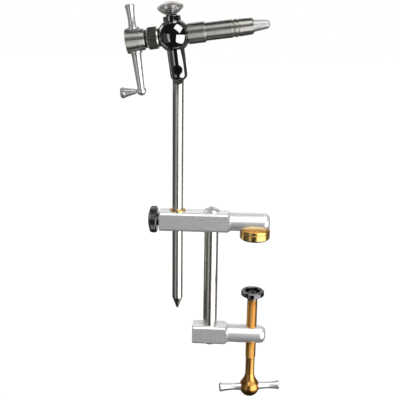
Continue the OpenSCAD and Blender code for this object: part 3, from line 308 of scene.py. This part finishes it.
def make_materials():
    along_arms = (90, 1800, 1800)
    drawn = (2200, 2200, 40)
    turned = (150, 150, 3200)
    threaded = (200, 200, 900)
    along_jaws = (3000, 160, 160)
    polished = (300, 300, 300)
    fine = (900, 900, 900)
    filed = (800, 800, 800)
    on_jaws = {"tilt": jaw_tilt, "axis": (ball, jaw_axis)}
    # name, colour, worn colour, roughness, its spread, grain, grain's depth in mm, what else is special
    rows = (
        ("satin_aluminium", (0.90, 0.90, 0.91), (0.83, 0.83, 0.845), 0.27, 0.03, along_arms, 0.0008,
         {"metallic": 0.5}),
        ("polished_steel", (0.66, 0.64, 0.59), (0.61, 0.59, 0.55), 0.27, 0.01, drawn, 0.0002, {}),
        ("brushed_steel", (0.66, 0.65, 0.60), (0.58, 0.57, 0.53), 0.30, 0.05, along_jaws, 0.003, on_jaws),
        ("jaw_steel", (0.62, 0.62, 0.61), (0.55, 0.55, 0.55), 0.42, 0.05, along_jaws, 0.003,
         {"tilt": jaw_tilt, "metallic": 0.6}),
        ("brass", (0.80, 0.54, 0.20), (0.66, 0.42, 0.13), 0.24, 0.05, turned, 0.0015, {}),
        # screw_brass is darker than brass: partly the screw's own deeper tone, partly painted shade
        # standing in for the shade between the thread's turns
        ("screw_brass", (0.70, 0.37, 0.10), (0.60, 0.30, 0.08), 0.29, 0.03, threaded, 0.0004, {}),
        ("bronze", (0.6, 0.38, 0.18), (0.5, 0.3, 0.14), 0.35, 0.08, fine, 0.004, {}),
        ("chrome", (0.88, 0.88, 0.89), (0.8, 0.8, 0.81), 0.2, 0.04, polished, 0.0008, {"metallic": 0.7}),
        ("drag_chrome", (0.84, 0.81, 0.79), (0.74, 0.71, 0.69), 0.2, 0.04, polished, 0.0006,
         {"metallic": 0.8}),
        ("black_nickel", (0.37, 0.37, 0.38), (0.32, 0.32, 0.33), 0.04, 0.015, polished, 0.0006, {}),
        ("cup_black", (0.15, 0.15, 0.155), (0.11, 0.11, 0.115), 0.1, 0.05, polished, 0.001, {}),
        ("black_screw", (0.16, 0.16, 0.165), (0.1, 0.1, 0.105), 0.2, 0.06, fine, 0.003, {}),
        ("bright_screw", (0.62, 0.62, 0.61), (0.5, 0.5, 0.5), 0.22, 0.05, filed, 0.003, {}),
        ("spring_steel", (0.55, 0.55, 0.56), (0.4, 0.4, 0.42), 0.25, 0.05, fine, 0.003, {}),
    )
    made = {row[0]: metal(*row[:-1], **row[-1]) for row in rows}
    made["knurled_steel"] = knurled_metal("knurled_steel")
    made["black_knob"] = plastic("black_knob", (0.014, 0.014, 0.016), roughness=0.2, ior=1.8)
    made["rubber"] = plastic("rubber", (0.015, 0.015, 0.015), roughness=0.55, ior=1.5)
    made["nylon"] = plastic("nylon", (0.8, 0.78, 0.72), roughness=0.4, ior=1.5)
    return made


# The finish of nodes that differ from their slot in the record
special_finish = {
    "upper_jaw": "jaw_steel",
    "lower_jaw": "jaw_steel",
    "drag_knob": "drag_chrome",
    "cup_pad": "cup_black",
    "post_top_screw": "chrome",
}


def dress_nodes(made):
    for row in frame["record"]["subparts"]:
        mesh = nodes[row["node"]].data
        mesh.materials.clear()
        mesh.materials.append(made[special_finish.get(row["node"], row["material_slot"])])


# Pieces

def link_mesh(name, points, faces, materials):
    mesh = bpy.data.meshes.new(name)
    mesh.from_pydata([p[:] for p in points], [], faces)
    for material in materials:
        mesh.materials.append(material)
    piece = bpy.data.objects.new(name, mesh)
    bpy.context.scene.collection.objects.link(piece)
    return piece


def ring_faces(rings, sides):
    """Faces between rings of points, with a cap at both ends."""
    faces = []
    for i in range(rings - 1):
        for j in range(sides):
            k = (j + 1) % sides
            faces.append((i * sides + j, i * sides + k, (i + 1) * sides + k, (i + 1) * sides + j))
    faces.append(tuple(reversed(range(sides))))
    faces.append(tuple((rings - 1) * sides + j for j in range(sides)))
    return faces


# The clamp screw: its ball, the hollow flare, the neck, the thread and the nose
ball_end_r = 9.4 * mm
neck_r = 4.25 * mm
neck_l = 30.4 * mm
flare_r = 15 * mm
thread_pitch = 1.058 * mm
thread_crest = 4.7625 * mm
thread_root = thread_crest - 0.5 * mm
thread_turns = 56
nose_r = 2.5 * mm
tip_r = 0.05 * mm
run_in = 0.3 * mm
nose_step = 0.05 * mm
screw_sides = 48
steps_per_turn = 8
ball_steps = 20
flare_steps = 8
flank_steepness = 1.35
root_flat = 0.15


def ball_and_flare(ball_z):
    """Radius and height up the ball at the screw's end and the hollow flare above it."""
    flare_x = neck_r + flare_r
    flare_z = math.sqrt((ball_end_r + flare_r) ** 2 - flare_x ** 2)
    join = math.atan2(flare_z, flare_x)
    rows = []
    for i in range(ball_steps + 1):
        angle = -math.pi / 2 + (join + math.pi / 2) * i / ball_steps
        rows.append((max(ball_end_r * math.cos(angle), tip_r), ball_z + ball_end_r * math.sin(angle)))
    for i in range(1, flare_steps + 1):
        angle = join * (1 - i / flare_steps)
        rows.append((flare_x - flare_r * math.cos(angle), ball_z + flare_z - flare_r * math.sin(angle)))
    return rows


def thread_ring(i):
    """The radii round step i of the helix, which fades in and out over its first and last turn."""
    last = thread_turns * steps_per_turn
    fade = min(1.0, i / steps_per_turn, (last - i) / steps_per_turn)
    radii = []
    for j in range(screw_sides):
        phase = (i / steps_per_turn - j / screw_sides) % 1.0
        height = flank_steepness * (1 - abs(2 * phase - 1)) - root_flat
        radii.append(thread_root + (thread_crest - thread_root) * min(1.0, max(0.0, height)) * fade)
    return radii


def make_screw(material):
    """The clamp screw with a real helix, its neck, the flare and the ball at its end."""
    low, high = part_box("clamp_screw")
    ball_z = low.z + ball_end_r
    start = ball_z + neck_l
    top = start + thread_pitch * thread_turns
    rings = [([radius] * screw_sides, z) for radius, z in ball_and_flare(ball_z)]
    rings.append(([neck_r] * screw_sides, start - run_in))
    for i in range(thread_turns * steps_per_turn + 1):
        rings.append((thread_ring(i), start + thread_pitch * i / steps_per_turn))
    rings.append(([nose_r] * screw_sides, top + nose_step))
    rings.append(([nose_r] * screw_sides, high.z))
    points = []
    for radii, z in rings:
        for j, radius in enumerate(radii):
            angle = 2 * math.pi * j / screw_sides
            points.append((radius * math.cos(angle), radius * math.sin(angle), z))
    piece = link_mesh("threaded_screw", points, ring_faces(len(rings), screw_sides), [material])
    piece.data.validate()
    piece.data.shade_smooth()
    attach(piece, "clamp_screw")
    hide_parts("clamp_screw")


# Studio

studio_centre = Vector((-40, 0, 60)) * mm
white = (1, 1, 1)
cream = (1, 0.99, 0.96)
quad = [(0, 1, 2, 3)]


def towards(azimuth, elevation):
    """Azimuth 0 is the camera's side, 90 the right; degrees."""
    a = math.radians(azimuth)
    e = math.radians(elevation)
    return Vector((math.sin(a) * math.cos(e), -math.cos(a) * math.cos(e), math.sin(e)))


def only_reflected(piece):
    """Keeps a studio card in the metal's reflections and out of everything else."""
    piece.visible_camera = False
    piece.visible_diffuse = False
    piece.visible_shadow = False
    piece.visible_transmission = False


def glow(name, colour, strength):
    material = bpy.data.materials.new(name)
    tree = Tree(material)
    tree.end("Surface", tree.light(colour, strength))
    return material


def glow_on_front(name, colour, strength):
    """A glow on the front of a card, whose back is clear."""
    material = bpy.data.materials.new(name)
    tree = Tree(material)
    back = tree.add("ShaderNodeNewGeometry").outputs["Backfacing"]
    clear = tree.add("ShaderNodeBsdfTransparent").outputs[0]
    tree.end("Surface", tree.mix(back, tree.light(colour, strength), clear))
    return material


def make_card(name, corners, distance, strength):
    """A studio card whose corners lie in those directions from the ball."""
    points = [ball + towards(azimuth, elevation) * distance for azimuth, elevation in corners]
    only_reflected(link_mesh(name, points, quad, [glow(name, white, strength)]))


def make_low_softbox(strength):
    """A softbox over the clamp's arms that shines downwards only, and is clear from above."""
    height = 130 * mm
    left = -140 * mm
    right = 60 * mm
    near = -420 * mm
    far = -60 * mm
    points = [Vector((x, y, height)) for x, y in ((left, near), (left, far), (right, far), (right, near))]
    only_reflected(link_mesh("softbox_low", points, quad, [glow_on_front("softbox_low", white, strength)]))


def make_room():
    """The room round the cards: dark in front, grey at the sides, with the pale backdrop behind."""
    radius = 3.0
    rows = 24
    columns = 48
    room, backdrop, wall = range(3)
    backdrop_half = 30
    backdrop_low = -20
    backdrop_high = 50
    wall_half = 85
    wall_high = 60
    points = []
    faces = []
    slots = []
    for i in range(rows + 1):
        elevation = -90 + 180 * i / rows
        for j in range(columns):
            points.append(studio_centre + towards(360 * j / columns, elevation) * radius)
    for i in range(rows):
        elevation = -90 + 180 * (i + 0.5) / rows
        for j in range(columns):
            from_back = abs(360 * (j + 0.5) / columns - 180)
            if from_back < backdrop_half and backdrop_low < elevation < backdrop_high:
                slots.append(backdrop)
            elif backdrop_half < from_back < wall_half and abs(elevation) < wall_high:
                slots.append(wall)
            else:
                slots.append(room)
            k = (j + 1) % columns
            faces.append((i * columns + j, i * columns + k, (i + 1) * columns + k, (i + 1) * columns + j))
    glows = [glow("room", cream, 0.022), glow("backdrop", white, 0.75), glow("wall", cream, 0.13)]
    piece = link_mesh("room", points, faces, glows)
    piece.data.polygons.foreach_set("material_index", slots)
    only_reflected(piece)


def seen_straight(tree):
    """1 for camera, glossy and transmission rays."""
    rays = tree.add("ShaderNodeLightPath")
    share = tree.maths("MAXIMUM", rays.outputs["Is Camera Ray"], rays.outputs["Is Glossy Ray"])
    return tree.maths("MAXIMUM", share, rays.outputs["Is Transmission Ray"])


def make_world(ambient_strength):
    """White where it is seen, and a dimmer ambient light on the object."""
    world = bpy.data.worlds.new("studio")
    bpy.context.scene.world = world
    tree = Tree(world)
    shades = []
    for strength in (ambient_strength, 1.0):
        node = tree.add("ShaderNodeBackground")
        node.inputs["Color"].default_value = (*white, 1)
        node.inputs["Strength"].default_value = strength
        shades.append(node.outputs[0])
    tree.end("Surface", tree.mix(seen_straight(tree), *shades), kind="ShaderNodeOutputWorld")


def make_floor():
    """A pale floor that takes the object's shadow: its grey and its glow together are white."""
    floor_z = -0.2
    half = 8.0
    grey = 0.3
    glow_strength = 0.74
    material = bpy.data.materials.new("floor")
    tree = Tree(material)
    matt = tree.add("ShaderNodeBsdfDiffuse")
    matt.inputs["Color"].default_value = (grey, grey, grey, 1)
    both = tree.add("ShaderNodeAddShader")
    tree.join(matt.outputs[0], both.inputs[0])
    tree.join(tree.light(white, tree.maths("MULTIPLY", seen_straight(tree), glow_strength)), both.inputs[1])
    tree.end("Surface", both.outputs[0])
    points = [Vector((x * half, y * half, floor_z)) for x, y in ((-1, -1), (1, -1), (1, 1), (-1, 1))]
    floor = link_mesh("floor", points, quad, [material])
    floor.visible_glossy = False


def make_sun(name, azimuth, elevation, strength, width):
    """A soft lamp from that direction; its width is in degrees."""
    data = bpy.data.lights.new(name, "SUN")
    data.energy = strength
    data.angle = math.radians(width)
    sun = bpy.data.objects.new(name, data)
    bpy.context.scene.collection.objects.link(sun)
    sun.rotation_mode = "QUATERNION"
    sun.rotation_quaternion = towards(azimuth, elevation).to_track_quat("Z", "Y")
    sun.visible_glossy = False
    sun.visible_camera = False


def make_studio():
    make_world(ambient_strength=0.35)
    make_floor()
    make_room()
    make_sun("key", azimuth=70, elevation=55, strength=2.0, width=50)
    make_sun("fill", azimuth=-45, elevation=40, strength=1.25, width=60)
    make_card("softbox_high", ((3, 49), (81, 75), (88, 41), (44, 16)), distance=1.0, strength=2.9)
    make_card("softbox_side", ((21, 5), (84, 4), (90, -42), (21, -41)), distance=1.0, strength=2.9)
    make_low_softbox(strength=2.6)
    make_card("grey_card", ((-80, 10), (-22, 10), (-22, -40), (-80, -40)), distance=1.4, strength=0.12)
    make_card("slim_card", ((-42, 8), (-27, 8), (-24, -40), (-39, -40)), distance=1.2, strength=0.9)
    make_card("rim_card", ((-128, 34), (-119, 34), (-118, 14), (-127, 14)), distance=1.2, strength=3.5)


bpy.context.scene.view_settings.view_transform = "Standard"
make_camera()
make_studio()
finishes = make_materials()
dress_nodes(finishes)
make_screw(finishes["screw_brass"])
